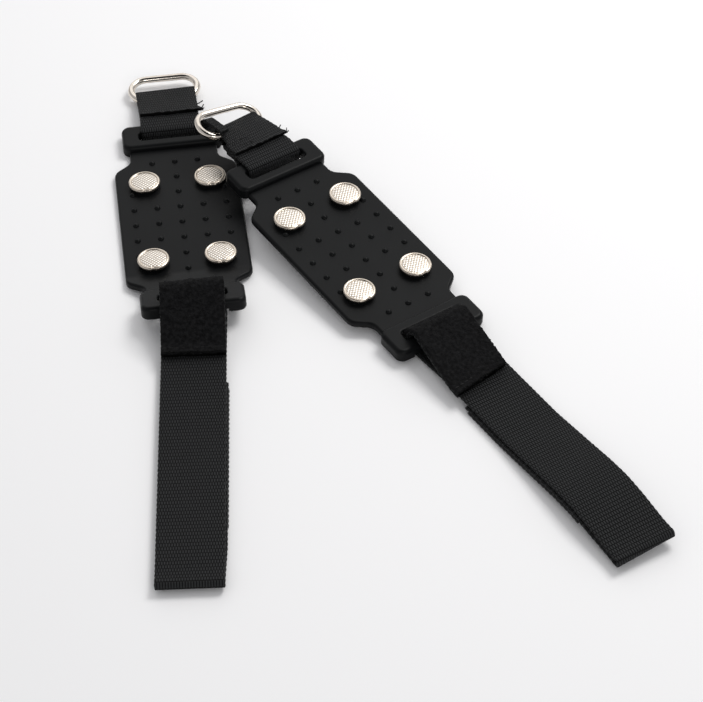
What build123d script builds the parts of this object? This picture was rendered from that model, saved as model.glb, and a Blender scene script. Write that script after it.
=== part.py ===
"""A pair of strap-on ice cleats: rubber plate, four riveted studs, D-ring tab and hook-and-loop strap.

Row frame: the origin is the centre of the left plate's underside, +Z is up and +Y points to its D-ring.
"""
from build123d import *
from dataclasses import dataclass
from math import cos, hypot, radians, sin
import os

os.makedirs("parts", exist_ok=True)

# Webbing: a flat woven band. GAP is the clearance kept between pieces that move apart.
WEB_W = 25.0
WEB_T = 1.3
GAP = 0.35

# Rubber plate: a slab with S-shaped shoulders, two necks and a raised block with a slot at each end.
PLATE_T = 3.0
PLATE_EDGE_R = 1.1
PLATE_HALF_W = 25.0
SHOULDER_Y = 34.6
NECK_Y = 40.0
NECK_HALF_W = 18.0
NECK_END_Y = 58.0
BLOCK_HALF_W = 20.4
BLOCK_Y0 = 46.3
BLOCK_Y1 = 61.2
BLOCK_TOP = 5.5
BLOCK_CORNER_R = 3.4
BLOCK_EDGE_R = 1.7
SLOT_HALF_W = 13.4
SLOT_Y0 = 51.0
SLOT_Y1 = 56.0
SLOT_CORNER_R = 1.5
SLOT_LIP_R = 0.8
BAR_UNDERSIDE = 1.9
NUB_PITCH_X = 9.3
NUB_PITCH_Y = 9.5
NUB_H = 1.0
NUB_R = 1.28
BEND_Y = 30.0
BEND_R_MID = 10.0

# Studs: a riveted steel button through the plate, peened over a washer in a pocket in the underside.
STUD_X = 13.3
STUD_Y = 24.0
STUD_HEAD_R = 6.4
STUD_TOP = 5.9
HEAD_T = 1.6
BOSS_R = 5.9
SHANK_R = 2.0
PEEN_R = 2.9
PEEN_T = 0.4
WASHER_R = 5.0
WASHER_T = 0.6
POCKET_R = 5.3
PEEN_Z = 0.1

# D-ring: round wire bent to a flat-sided oval.
WIRE_R = 1.45
RING_HALF_L = 15.3
RING_HALF_H = 8.1
RING_BEND_R = RING_HALF_H - WIRE_R
STRAIGHT_HALF = RING_HALF_L - RING_HALF_H

# Tab: webbing doubled round the bar and through the ring. It bends at a line just outside the bar.
TAB_HINGE_Y = 64.1
TAB_HINGE_Z = 5.2
RING_S = 15.4
RING_N = 0.65
FOLD_SLACK = 2.5
RING_FIT = 0.08
LIP_S = 1.2
INNER_END_S = 10.5
SHOULDER_S = 12.4
TONGUE_HALF_W = 8.0

# Strap, measured along itself from the bar it is looped round.
BAR_MID_Y = 0.5 * (SLOT_Y1 + BLOCK_Y1)
STRAP_HINGE_S = 8.5
STRAP_BEND_S = 34.2
KNEE_S = 18.0
KNEE_R = 8.0
FREE_END_S = 37.0
PILE_T = 1.6
PILE_START = 0.35
PILE_STOP = 0.72
PILE_SIDE = -0.5 * (WEB_T + PILE_T)
ARCH_R = 2.5
HOOK_T = 1.0
HOOK_S0 = 38.8
HOOK_S1 = 111.0
HOOK_Z0 = 0.2
RETURN_Z0 = HOOK_Z0 + HOOK_T
FOLD_Z = RETURN_Z0 + WEB_T + 0.15
RUN_Z0 = FOLD_Z + 0.15
FOLD_GAP = 1.75
HOOK_SIDE = 1.2

# Thread
STITCH_L = 1.7
STITCH_W = 0.5
STITCH_H = 0.25
STITCH_PITCH = 2.5


@dataclass(frozen=True)
class Cleat:
    """What differs between the two cleats: where the plate lies and how its webbing is laid.

    Angles are in degrees. end_lift is how far the strap end of the rubber is bent up, tab_drop and tab_roll
    are how the tab hangs from the plate, ring_rise is the ring's own lift out of the tab's plane, arch is the
    height of the strap's loop, and root_rise is how much higher the strap starts than it lies.
    """

    name: str
    plate_at: Plane
    end_lift: float
    tab_drop: float
    tab_roll: float
    ring_rise: float
    arch: float
    root_rise: float
    seam_s: float
    strap_at: Location
    strap_s: float
    hook_side: float


LEFT = Cleat(
    name="left",
    plate_at=Plane.XY,
    end_lift=12.0,
    tab_drop=10.0,
    tab_roll=0.0,
    ring_rise=14.0,
    arch=11.5,
    root_rise=4.0,
    seam_s=23.6,
    strap_at=Location((0, -57.5, 0), (0, 0, -5.6)),
    strap_s=140.5,
    hook_side=1.0,
)
RIGHT = Cleat(
    name="right",
    plate_at=Plane(origin=(64.4, -31.4, 5.4), x_dir=(0.883, 0.468, -0.030), z_dir=(0.063, -0.0555, 0.9964)),
    end_lift=0.0,
    tab_drop=10.0,
    tab_roll=9.0,
    ring_rise=18.0,
    arch=10.0,
    root_rise=1.2,
    seam_s=31.0,
    strap_at=Location((91.7, -83.0, 0), (0, 0, 25.2)),
    strap_s=134.2,
    hook_side=-1.0,
)


def ribbon(points, radii, width=WEB_W, thickness=WEB_T, shift=0.0):
    """Webbing of one width: a centreline in the YZ plane, rounded at its corners, thickened and extruded."""
    sides = []
    for side in (0.5 * thickness, -0.5 * thickness):
        corners, bends = offset_route(points, radii, side)
        sides.append(FilletPolyline(*corners, radius=bends) if bends else Line(*corners))
    first, second = sides
    outline = [first, second, Line(first @ 0, second @ 0), Line(first @ 1, second @ 1)]
    face = Plane.YZ.offset(shift) * make_face(outline)
    return extrude(face, amount=0.5 * width, both=True)


def offset_route(points, radii, side):
    """The route moved sideways by side, with the radius that each corner then needs."""
    headings = []
    for (ya, za), (yb, zb) in zip(points, points[1:]):
        length = hypot(yb - ya, zb - za)
        headings.append(((yb - ya) / length, (zb - za) / length))
    corners = [moved_point(points[0], headings[0], headings[0], side)]
    bends = []
    for point, before, after, radius in zip(points[1:-1], headings, headings[1:], radii):
        corners.append(moved_point(point, before, after, side))
        turn = before[0] * after[1] - before[1] * after[0]
        bends.append(radius - side if turn > 0 else radius + side)
    corners.append(moved_point(points[-1], headings[-1], headings[-1], side))
    return corners, bends


def moved_point(point, before, after, side):
    """One corner of the route moved to the mitre of its two offset runs."""
    normal = (-before[1] - after[1], before[0] + after[0])
    scale = 2.0 * side / (normal[0] ** 2 + normal[1] ** 2)
    return point[0] + normal[0] * scale, point[1] + normal[1] * scale


def plate_outline():
    """The plate seen from above: one quarter, mirrored into the other three."""
    quarter = [
        (PLATE_HALF_W, SHOULDER_Y, 5.0),
        (NECK_HALF_W, NECK_Y, 4.5),
        (NECK_HALF_W, NECK_END_Y, 3.0),
    ]
    upper = quarter + [(-x, y, r) for x, y, r in reversed(quarter)]
    loop = upper + [(-x, -y, r) for x, y, r in upper]
    corners = [(x, y) for x, y, r in loop]
    return make_face(FilletPolyline(*corners, radius=[r for x, y, r in loop], close=True))


def slot_prism(end):
    """The slot at one end, as the solid that is cut out for it."""
    face = RectangleRounded(2 * SLOT_HALF_W, SLOT_Y1 - SLOT_Y0, SLOT_CORNER_R)
    return Pos(0, 0.5 * end * (SLOT_Y0 + SLOT_Y1), -1) * extrude(face, amount=BLOCK_TOP + 2)


def end_block(end):
    """The raised block at one end, rounded all round, with the lip of its slot rounded too."""
    mid = 0.5 * (BLOCK_Y0 + BLOCK_Y1)
    face = RectangleRounded(2 * BLOCK_HALF_W, BLOCK_Y1 - BLOCK_Y0, BLOCK_CORNER_R)
    block = Pos(0, end * mid) * extrude(face, amount=BLOCK_TOP)
    block = fillet(block.faces().sort_by(Axis.Z)[0].edges(), PLATE_EDGE_R)
    block = fillet(block.faces().sort_by(Axis.Z)[-1].edges(), BLOCK_EDGE_R)
    block -= slot_prism(end)
    return fillet(block.faces().sort_by(Axis.Z)[-1].inner_wires()[0].edges(), SLOT_LIP_R)


def nub_places():
    """The grid of nubs, without the ones that the studs' bosses take."""
    places = []
    for row in range(-4, 5):
        for column in range(-2, 3):
            x, y = column * NUB_PITCH_X, row * NUB_PITCH_Y
            at_stud = hypot(abs(x) - STUD_X, abs(y) - STUD_Y) < BOSS_R + NUB_R
            off_shoulder = abs(row) == 4 and abs(column) == 2
            if not at_stud and not off_shoulder:
                places.append((x, y))
    return places


def stud_places():
    """The four stud centres, in the order in which they are numbered."""
    return [(x, y) for y in (STUD_Y, -STUD_Y) for x in (-STUD_X, STUD_X)]


def plate():
    """The moulded rubber plate, lying flat."""
    slab = extrude(plate_outline(), amount=PLATE_T)
    body = fillet(slab.edges().group_by(Axis.Z)[-1], PLATE_EDGE_R)
    body = fillet(body.edges().group_by(Axis.Z)[0], PLATE_EDGE_R)
    for end in (1, -1):
        body += end_block(end)
    body += [Pos(x, y, PLATE_T + NUB_H - NUB_R) * Sphere(NUB_R) for x, y in nub_places()]
    boss_h = STUD_TOP - HEAD_T
    body += [Pos(x, y, 0.5 * boss_h) * Cylinder(BOSS_R, boss_h) for x, y in stud_places()]
    recess_l = BLOCK_Y1 - SLOT_Y0 + 2.0
    for end in (1, -1):
        body -= slot_prism(end)
        recess = Pos(0, end * (SLOT_Y0 + 0.5 * recess_l), 0)
        body -= recess * Box(2 * SLOT_HALF_W, recess_l, 2 * BAR_UNDERSIDE)
    pocket_h = PEEN_Z + PEEN_T + WASHER_T
    for x, y in stud_places():
        body -= Pos(x, y, 0) * Cylinder(POCKET_R, 2 * pocket_h)
        body -= Pos(x, y, 0) * Cylinder(SHANK_R + 0.05, 3 * STUD_TOP)
    return body


def end_frame(cleat):
    """Where the bent-up strap end goes: moved in by the bend's arc, then turned about the bend's centre."""
    arc = BEND_R_MID * radians(cleat.end_lift)
    centre = Pos(0, -BEND_Y, BEND_R_MID + 0.5 * PLATE_T)
    return centre * Rot(-cleat.end_lift, 0, 0) * centre.inverse() * Pos(0, arc, 0)


def bent_plate(cleat):
    """The plate with its strap end bent up by end_lift about a line across it."""
    flat = plate()
    if not cleat.end_lift:
        return flat
    arc = BEND_R_MID * radians(cleat.end_lift)
    reach = 2 * BLOCK_Y1
    keep = Box(reach, reach, reach, align=(Align.CENTER, Align.MIN, Align.CENTER))
    turn = Box(reach, reach, reach, align=(Align.CENTER, Align.MAX, Align.CENTER))
    middle = flat & Pos(0, -BEND_Y, 0) * keep
    end = end_frame(cleat) * (flat & Pos(0, -BEND_Y - arc, 0) * turn)
    section = Plane((0, -BEND_Y, 0.5 * PLATE_T), x_dir=(1, 0, 0), z_dir=(0, -1, 0)) * plate_section()
    axis = Axis((0, -BEND_Y, BEND_R_MID + 0.5 * PLATE_T), (-1, 0, 0))
    return middle + revolve(section, axis, cleat.end_lift) + end


def plate_section():
    """The slab's section across its straight part."""
    return RectangleRounded(2 * PLATE_HALF_W, PLATE_T, PLATE_EDGE_R)


def stud():
    """A stud: peened end, shank, and a head with a raised rim round a shallow dish."""
    washer_z = PEEN_Z + PEEN_T
    head_z = STUD_TOP - HEAD_T
    profile = Polyline(
        (0, PEEN_Z),
        (PEEN_R, PEEN_Z),
        (PEEN_R, washer_z),
        (SHANK_R, washer_z),
        (SHANK_R, head_z),
        (STUD_HEAD_R - 0.3, head_z),
        (STUD_HEAD_R, head_z + 0.3),
        (STUD_HEAD_R, STUD_TOP - 0.6),
        (STUD_HEAD_R - 0.6, STUD_TOP),
        (STUD_HEAD_R - 1.2, STUD_TOP),
        (STUD_HEAD_R - 1.4, STUD_TOP - 0.25),
        (0, STUD_TOP - 0.25),
        close=True,
    )
    return revolve(Plane.XZ * make_face(profile), Axis.Z)


def washer():
    """The washer that a stud is peened over, under the plate."""
    ring = Circle(WASHER_R) - Circle(SHANK_R + 0.05)
    return Pos(0, 0, PEEN_Z + PEEN_T) * extrude(ring, amount=WASHER_T)


def bar_loop():
    """The tab's webbing round its bar: from below it, up through the slot and over its top."""
    under = 0.5 * WEB_T + 0.3
    over = BLOCK_TOP + GAP + 0.5 * WEB_T
    inner = SLOT_Y1 - 0.65 - 0.5 * WEB_T
    outer = TAB_HINGE_Y - WEB_T - GAP
    points = [(outer, under), (inner, under), (inner, over), (outer, over)]
    return ribbon(points, [1.0, 1.4])


def arch_route(arch):
    """The centreline of the strap's loop: under the bar, up through the slot, over an arch and down outside."""
    under = 0.5 * WEB_T + 0.3
    inner = SLOT_Y1 - 0.65 - 0.5 * WEB_T
    outer = BAR_MID_Y + STRAP_HINGE_S - 2.1 - GAP
    landing = BLOCK_TOP + 0.5 * WEB_T - 0.9
    points = [(outer, under), (inner, under), (inner - 0.6, arch - 3.0), (inner + 3.0, arch), (outer, landing)]
    return [(-y, z) for y, z in points]


def strap_loop(arch):
    """The strap's own loop, which stands up in an arch before it comes down outside the bar."""
    return ribbon(arch_route(arch), [1.0, ARCH_R, ARCH_R])


def pile_root(arch):
    """The start of the pile pad, which lies on the outside of the arch."""
    foot, rise, top, landing = arch_route(arch)[1:]
    start = between(foot, rise, PILE_START)
    stop = between(top, landing, PILE_STOP)
    route, bends = offset_route([start, rise, top, stop], [ARCH_R, ARCH_R], PILE_SIDE)
    return ribbon(route, bends, thickness=PILE_T)


def between(first, second, share):
    """The point a given share of the way from one point to another."""
    return tuple(a + share * (b - a) for a, b in zip(first, second))


def tab_frame(cleat):
    """The tab's own frame in the plate's: origin on its bend line, Y along the tab, which droops and rolls."""
    return Pos(0, TAB_HINGE_Y, TAB_HINGE_Z) * Rot(-cleat.tab_drop, 0, 0) * Rot(0, cleat.tab_roll, 0)


def tab_webbing():
    """The doubled webbing: under layer, fold round the ring's bar, and the flap on top with its cut lip."""
    fold_r = WIRE_R + RING_FIT + 0.5 * WEB_T
    low, high = RING_N - fold_r, RING_N + fold_r
    under = [(0, -0.5 * WEB_T), (INNER_END_S, -0.5 * WEB_T), (SHOULDER_S, low)]
    flap = [(LIP_S, 1.5 * WEB_T), (INNER_END_S, 1.5 * WEB_T), (SHOULDER_S, high)]
    middle = [(0, 0.5 * WEB_T), (INNER_END_S - 1.0, 0.5 * WEB_T)]
    body = ribbon(under, [4.0]) + ribbon(flap, [4.0]) + ribbon(middle, [])
    return body + tab_tongue(fold_r)


def tab_tongue(fold_r):
    """The fold that holds the ring's straight bar, no wider than that bar is straight."""
    rim = fold_r + 0.5 * WEB_T
    hollow = fold_r - 0.5 * WEB_T
    start = SHOULDER_S - 0.8
    end = RING_S + FOLD_SLACK
    outer = Pos(end, RING_N) * Circle(rim) + Pos(0.5 * (start + end), RING_N) * Rectangle(end - start, 2 * rim)
    hole_l = end - start + 1.0
    hole = Pos(end, RING_N) * Circle(hollow) + Pos(end - 0.5 * hole_l, RING_N) * Rectangle(hole_l, 2 * hollow)
    return extrude(Plane.YZ * (outer - hole), amount=TONGUE_HALF_W, both=True)


def d_ring(cleat):
    """The oval ring in the tab's frame, with its near bar along X through the tab's fold."""
    section = Plane.YZ * Circle(WIRE_R)
    bar = extrude(section, amount=STRAIGHT_HALF, both=True)
    ring = bar + Pos(0, 2 * RING_BEND_R, 0) * bar
    for side in (1, -1):
        end = Pos(side * STRAIGHT_HALF, 0, 0) * section
        axis = Axis((side * STRAIGHT_HALF, RING_BEND_R, 0), (0, 0, side))
        ring += revolve(end, axis, 180)
    return Pos(0, RING_S, RING_N) * Rot(cleat.ring_rise, 0, 0) * ring


def stitch_row(count, x_mid=0.0):
    """A straight row of separate stitches along X."""
    stitch = Box(STITCH_L, STITCH_W, STITCH_H, align=(Align.CENTER, Align.CENTER, Align.MIN))
    first = x_mid - 0.5 * (count - 1) * STITCH_PITCH
    return [Pos(first + number * STITCH_PITCH, 0, 0) * stitch for number in range(count)]


def tab_stitching():
    """Two rows of stitches through the tab's three layers, in the tab's frame."""
    rows = []
    for s in (4.0, 7.5):
        rows += [Pos(0, s, 2 * WEB_T) * stitch for stitch in stitch_row(9)]
    return Compound(children=rows)


def stack_route(cleat, end_s, offset=0.0):
    """A layer of the strap's near part: down from its bend line to a knee, then level, offset upwards."""
    z = RUN_Z0 + 0.5 * WEB_T
    route = [(-end_s, z), (-KNEE_S, z), (-STRAP_HINGE_S, z + cleat.root_rise)]
    return offset_route(route, [KNEE_R], offset)


def strap_root(cleat):
    """The strap's lower layer, from its bend line by the bar to its second bend line."""
    return ribbon(*stack_route(cleat, STRAP_BEND_S - 0.5 * WEB_T - GAP))


def strap_lap(cleat):
    """The strap's upper layer, folded back over the lower one as far as its sewn end."""
    return ribbon(*stack_route(cleat, cleat.seam_s, WEB_T))


def pile_pad(cleat):
    """The loop-pile pad on top of the folded-back end."""
    return ribbon(*stack_route(cleat, cleat.seam_s, 1.5 * WEB_T + 0.5 * PILE_T), thickness=PILE_T)


def seam_stitching(cleat):
    """A row of stitches through the pile pad's sewn end."""
    z = RUN_Z0 + 2 * WEB_T + PILE_T
    return Compound(children=[Pos(0, 1.2 - cleat.seam_s, z) * stitch for stitch in stitch_row(9)])


def strap_run(cleat):
    """The long upper run, from the second bend line to the fold at the far end."""
    z = RUN_Z0 + 0.5 * WEB_T
    return ribbon([(-STRAP_BEND_S, z), (FOLD_GAP - cleat.strap_s, z)], [])


def strap_return(cleat):
    """The doubled-under run, from the far fold back to its free cut end."""
    z = RETURN_Z0 + 0.5 * WEB_T
    return ribbon([(-FREE_END_S, z), (FOLD_GAP - cleat.strap_s, z)], [])


def hook_patch(cleat):
    """The hook patch on the floor side of the doubled-under run, a little proud at one side."""
    z = HOOK_Z0 + 0.5 * HOOK_T
    shift = cleat.hook_side * HOOK_SIDE
    return ribbon([(-HOOK_S0, z), (-HOOK_S1, z)], [], thickness=HOOK_T, shift=shift)


def save(shape, name):
    """Writes one node and prints its volume."""
    print(f"{name:26s} {shape.volume:10.1f} mm3  valid {shape.is_valid}")
    export_step(shape, f"parts/{name}.step")


def cleat_nodes(cleat):
    """Every node of one cleat, in the row frame."""
    plate_at = cleat.plate_at.location
    end_at = plate_at * end_frame(cleat)
    tab_at = plate_at * tab_frame(cleat)
    strap_at = cleat.strap_at
    nodes = {
        "plate": plate_at * bent_plate(cleat),
        "tab_bar_loop": plate_at * bar_loop(),
        "strap_bar_loop": end_at * strap_loop(cleat.arch),
        "pile_root": end_at * pile_root(cleat.arch),
        "tab_webbing": tab_at * tab_webbing(),
        "tab_stitching": tab_at * tab_stitching(),
        "d_ring": tab_at * d_ring(cleat),
        "strap_root": strap_at * strap_root(cleat),
        "strap_lap": strap_at * strap_lap(cleat),
        "pile_pad": strap_at * pile_pad(cleat),
        "seam_stitching": strap_at * seam_stitching(cleat),
        "strap_run": strap_at * strap_run(cleat),
        "strap_return": strap_at * strap_return(cleat),
        "hook_patch": strap_at * hook_patch(cleat),
    }
    for number, (x, y) in enumerate(stud_places(), start=1):
        nodes[f"stud_{number}"] = plate_at * Pos(x, y, 0) * stud()
        nodes[f"rivet_washer_{number}"] = plate_at * Pos(x, y, 0) * washer()
    return nodes


for cleat in (LEFT, RIGHT):
    for node, shape in cleat_nodes(cleat).items():
        save(shape, f"{cleat.name}_{node}")
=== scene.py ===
"""Looks for a pair of strap-on ice cleats: moulded rubber, nickel studs, D-rings, webbing and loop pile."""
import logging
import random
from bisect import bisect_left
from dataclasses import dataclass, field
from enum import Enum
from math import ceil, cos, pi, radians, sin, tan
from typing import Callable, Sequence

import bmesh
import bpy
from bmesh.types import BMEdge, BMesh, BMVert
from bpy.types import Material, Node, NodeSocket, NodeTree, Object
from mathutils import Matrix, Quaternion, Vector, noise


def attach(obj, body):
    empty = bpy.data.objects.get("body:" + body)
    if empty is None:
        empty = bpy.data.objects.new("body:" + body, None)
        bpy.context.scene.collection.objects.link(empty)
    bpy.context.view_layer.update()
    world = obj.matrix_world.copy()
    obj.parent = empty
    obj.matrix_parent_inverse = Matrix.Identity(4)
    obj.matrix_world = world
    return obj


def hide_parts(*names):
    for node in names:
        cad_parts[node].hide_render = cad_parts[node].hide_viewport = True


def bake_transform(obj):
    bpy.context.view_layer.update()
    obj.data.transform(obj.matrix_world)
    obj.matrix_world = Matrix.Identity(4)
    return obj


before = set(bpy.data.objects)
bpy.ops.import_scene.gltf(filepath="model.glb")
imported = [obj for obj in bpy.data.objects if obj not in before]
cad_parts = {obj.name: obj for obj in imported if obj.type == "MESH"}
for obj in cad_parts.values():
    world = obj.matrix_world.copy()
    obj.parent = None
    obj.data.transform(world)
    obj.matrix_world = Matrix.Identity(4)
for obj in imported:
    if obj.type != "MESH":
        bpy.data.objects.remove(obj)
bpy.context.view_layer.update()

Triple = tuple[float, float, float]
LOG = logging.getLogger("ice_cleats")
MM = 0.001

# Sizes in millimetres, as in the CAD source.
WEB_HALF_W = 12.5
WEB_T = 1.3
PILE_T = 1.6
PLATE_T = 3.0
BLOCK_TOP = 5.5
BEND_Y = 30.0
BEND_R_MID = 10.0
BAR_INNER_Y = 54.7
BAR_UNDER_Z = 0.95
TAB_HINGE_Y = 64.1
TAB_HINGE_Z = 5.2
RING_S = 15.4
RING_N = 0.65
RING_WIRE_R = 1.45
RING_BEND_R = 6.65
RING_STRAIGHT_HALF = 7.2
FOLD_R = 2.18
RUN_MID_Z = 3.45
RETURN_MID_Z = 1.85
HOOK_MID_Z = 0.7
FREE_END_S = 37.0
HOOK_S0 = 38.8
HOOK_S1 = 111.0

# Loose threads at a tab's lip, each as three places across, along and above the lip's middle.
LOOSE_THREADS = (
    ((12.5, 0.2, 0.1), (14.4, 0.6, 0.6), (15.4, 2.2, 1.5)),
    ((12.0, -0.4, 0.0), (14.2, -1.0, 0.4), (15.6, -0.4, 1.0)),
    ((11.0, 3.4, 0.2), (13.6, 4.2, 0.9), (15.8, 5.8, 1.2)),
)

# Webbing weave: raised floats stand in rows across the band, each row half a float along from the last.
FLOAT_COLUMN = 1.0
FLOAT_ROW = 1.75
SELVEDGE_PITCH = 2.5
WEAVE_MAP = "weave_mm"

# A wave texture's scale for one wave to each unit of length.
ONE_WAVE = 0.159

# How far along a band its slanted first end is felt.
SKEW_REACH = 20.0

# Soft boxes, each as a name, a place and a side in millimetres, and a power in watts.
SOFT_BOXES = (
    ("soft_box_key", (520, 260, 800), 420, 4.4),
    ("soft_box_back", (60, 1100, 900), 1500, 5.0),
    ("soft_box_front", (300, -1350, 760), 460, 2.6),
)


class Slot(Enum):
    """The record's material slots."""

    RUBBER = "rubber"
    STUD = "stud_steel"
    RING = "ring_steel"
    WEBBING = "webbing"
    PILE = "loop_pile"
    HOOK = "hook_tape"
    THREAD = "thread"


# ---- finishes


def linear(hex_colour: str) -> tuple[float, float, float, float]:
    """Turns an sRGB hex colour to linear values.

    Args:
        hex_colour: Six hex digits.

    Returns:
        Linear red, green, blue and an alpha of 1.
    """
    parts = [int(hex_colour[i:i + 2], 16) / 255 for i in (0, 2, 4)]
    return (*[c / 12.92 if c <= 0.04045 else ((c + 0.055) / 1.055) ** 2.4 for c in parts], 1.0)


def add(tree: NodeTree, kind: str, inputs: dict | None = None, **settings) -> Node:
    """Adds a node with its settings and links.

    Args:
        tree: The tree that the node goes into.
        kind: The node's type, without its ShaderNode prefix.
        inputs: A value or an output socket for each input, by its name or number.
        settings: The node's own properties.

    Returns:
        The new node.
    """
    made = tree.nodes.new("ShaderNode" + kind)
    for name, value in settings.items():
        setattr(made, name, value)
    for key, value in (inputs or {}).items():
        if isinstance(value, NodeSocket):
            tree.links.new(value, made.inputs[key])
        else:
            made.inputs[key].default_value = value
    return made


@dataclass(frozen=True)
class Finish:
    """A material: what it is, its uniform shader values and the pattern that its subclass adds."""

    name: str
    colour: str
    roughness: float
    metallic: float = 0.0
    ior: float = 1.5
    sheen: float = 0.0
    specular: float = 0.5

    def make(self) -> Material:
        """Makes the material with its pattern."""
        material = bpy.data.materials.new(self.name)
        material.use_nodes = True
        tree = material.node_tree
        shader = tree.nodes["Principled BSDF"]
        values = {"Base Color": linear(self.colour), "Roughness": self.roughness, "Metallic": self.metallic,
                  "Specular IOR Level": self.specular}
        if not self.metallic:
            values["IOR"] = self.ior
        if self.sheen:
            values |= {"Sheen Weight": self.sheen, "Sheen Roughness": 0.5}
        for name, value in values.items():
            shader.inputs[name].default_value = value
        material.diffuse_color = linear(self.colour)
        self.pattern(tree, shader)
        return material

    def pattern(self, tree: NodeTree, shader: Node) -> None:
        """Adds the pattern; a plain finish has none."""

    def lay(self, tree: NodeTree, shader: Node, share: NodeSocket, tones: tuple[str, str],
            height: NodeSocket, strength: float, depth_mm: float) -> None:
        """Mixes two colours by a pattern and adds its relief.

        Args:
            tree: The material's tree.
            shader: The material's shader.
            share: The pattern's share of the second colour.
            tones: The two colours, in hex.
            height: The relief's height.
            strength: The relief's strength.
            depth_mm: The relief's depth.
        """
        low, high = (linear(tone) for tone in tones)
        tone = add(tree, "Mix", {0: share, 6: low, 7: high}, data_type="RGBA")
        bump = add(tree, "Bump", {"Height": height, "Strength": strength, "Distance": depth_mm * MM})
        tree.links.new(tone.outputs[2], shader.inputs["Base Color"])
        tree.links.new(bump.outputs["Normal"], shader.inputs["Normal"])

    def vary(self, tree: NodeTree, shader: Node, share: NodeSocket, less: float, more: float) -> None:
        """Lets a pattern take the roughness from less below its value to more above it."""
        gloss = add(tree, "MapRange", {"Value": share, "To Min": self.roughness - less,
                                       "To Max": self.roughness + more})
        tree.links.new(gloss.outputs["Result"], shader.inputs["Roughness"])


@dataclass(frozen=True)
class MouldedRubber(Finish):
    """Black natural rubber, moulded in a blasted tool: satin and faintly mottled, with soft highlights."""

    dust: str = "161718"
    grain_mm: float = 0.35
    mottle_mm: float = 14.0

    def pattern(self, tree: NodeTree, shader: Node) -> None:
        """Fine moulded grain with broad, faint mottling."""
        place = add(tree, "TexCoord").outputs["Object"]
        mottle = add(tree, "TexNoise", {"Vector": place, "Scale": 1 / (self.mottle_mm * MM), "Detail": 4.0})
        grain = add(tree, "TexNoise", {"Vector": place, "Scale": 1 / (self.grain_mm * MM), "Detail": 2.0})
        self.vary(tree, shader, mottle.outputs["Fac"], 0.05, 0.07)
        self.lay(tree, shader, mottle.outputs["Fac"], (self.colour, self.dust), grain.outputs["Fac"],
                 0.22, 0.05)


@dataclass(frozen=True)
class NickelPlate(Finish):
    """Bright nickel on steel: mirror-like and warm, with faint drawing lines and handling haze."""

    haze: str = "b9afa2"
    haze_mm: float = 3.5
    peel_mm: float = 0.9

    def pattern(self, tree: NodeTree, shader: Node) -> None:
        """Faint haze in broad patches and a very fine orange peel."""
        place = add(tree, "TexCoord").outputs["Object"]
        patch = add(tree, "TexNoise", {"Vector": place, "Scale": 1 / (self.haze_mm * MM), "Detail": 5.0})
        peel = add(tree, "TexNoise", {"Vector": place, "Scale": 1 / (self.peel_mm * MM), "Detail": 2.0})
        share = add(tree, "MapRange", {"Value": patch.outputs["Fac"], "From Min": 0.45, "From Max": 0.75,
                                       "To Max": 0.5})
        self.vary(tree, shader, patch.outputs["Fac"], 0.04, 0.08)
        self.lay(tree, shader, share.outputs["Result"], (self.colour, self.haze), peel.outputs["Fac"],
                 0.08, 0.05)


@dataclass(frozen=True)
class KnurledNickel(Finish):
    """The stud's face: nickel over a rolled cross-hatch, which breaks highlights into small squares."""

    # The darker groove tone is painted shade down in the knurl's grooves.
    groove_shade: str = "a89c8d"
    pitch_mm: float = 0.52
    turned: float = 0.0

    def pattern(self, tree: NodeTree, shader: Node) -> None:
        """Two sets of grooves that cross at right angles, with painted shade down in the grooves."""
        place = add(tree, "TexCoord").outputs["Object"]
        heights = []
        for turn in (45.0, -45.0):
            lay = add(tree, "Mapping", {"Vector": place, "Rotation": (0, 0, radians(turn + self.turned)),
                                        "Scale": (1 / (self.pitch_mm * MM),) * 3})
            wave = add(tree, "TexWave", {"Vector": lay.outputs["Vector"], "Scale": ONE_WAVE,
                                         "Distortion": 0.15, "Detail": 0.0}, bands_direction="X")
            heights.append(wave.outputs["Fac"])
        cross = add(tree, "Math", {0: heights[0], 1: heights[1]}, operation="MULTIPLY").outputs["Value"]
        share = add(tree, "MapRange", {"Value": cross, "From Max": 0.35, "To Min": 1.0, "To Max": 0.0})
        self.lay(tree, shader, share.outputs["Result"], (self.colour, self.groove_shade), cross, 0.9, 0.1)


@dataclass(frozen=True)
class WovenWebbing(Finish):
    """Polypropylene webbing: filament floats stand proud in staggered rows and catch a dull light, with
    painted shade in the gaps between them.
    """

    # The near-black gap tone is painted shade between the raised floats.
    gap_shade: str = "030303"
    column_mm: float = FLOAT_COLUMN
    row_mm: float = FLOAT_ROW

    def pattern(self, tree: NodeTree, shader: Node) -> None:
        """Floats from a brick pattern laid on the piece's UV map, which is in millimetres; the near-black
        between them is painted shade.
        """
        laid = add(tree, "UVMap", uv_map=WEAVE_MAP).outputs["UV"]
        floats = add(tree, "TexBrick", {"Vector": laid, "Scale": 1.0, "Mortar Size": 0.3,
                                        "Mortar Smooth": 1.0, "Brick Width": self.column_mm,
                                        "Row Height": self.row_mm}, offset=0.5)
        fibre_lay = add(tree, "Mapping", {"Vector": laid, "Scale": (9.0, 1.6, 1.0)})
        fibres = add(tree, "TexNoise", {"Vector": fibre_lay.outputs["Vector"], "Scale": 1.0, "Detail": 3.0})
        wear = add(tree, "TexNoise", {"Vector": laid, "Scale": 0.12, "Detail": 4.0})
        lift = add(tree, "Math", {0: floats.outputs["Fac"], 1: -1.0, 2: 1.0},
                   operation="MULTIPLY_ADD").outputs["Value"]
        height = add(tree, "Math", {0: fibres.outputs["Fac"], 1: 0.25, 2: lift}, operation="MULTIPLY_ADD")
        self.vary(tree, shader, wear.outputs["Fac"], 0.1, 0.1)
        self.lay(tree, shader, lift, (self.gap_shade, self.colour), height.outputs["Value"], 1.0, 0.34)


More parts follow.
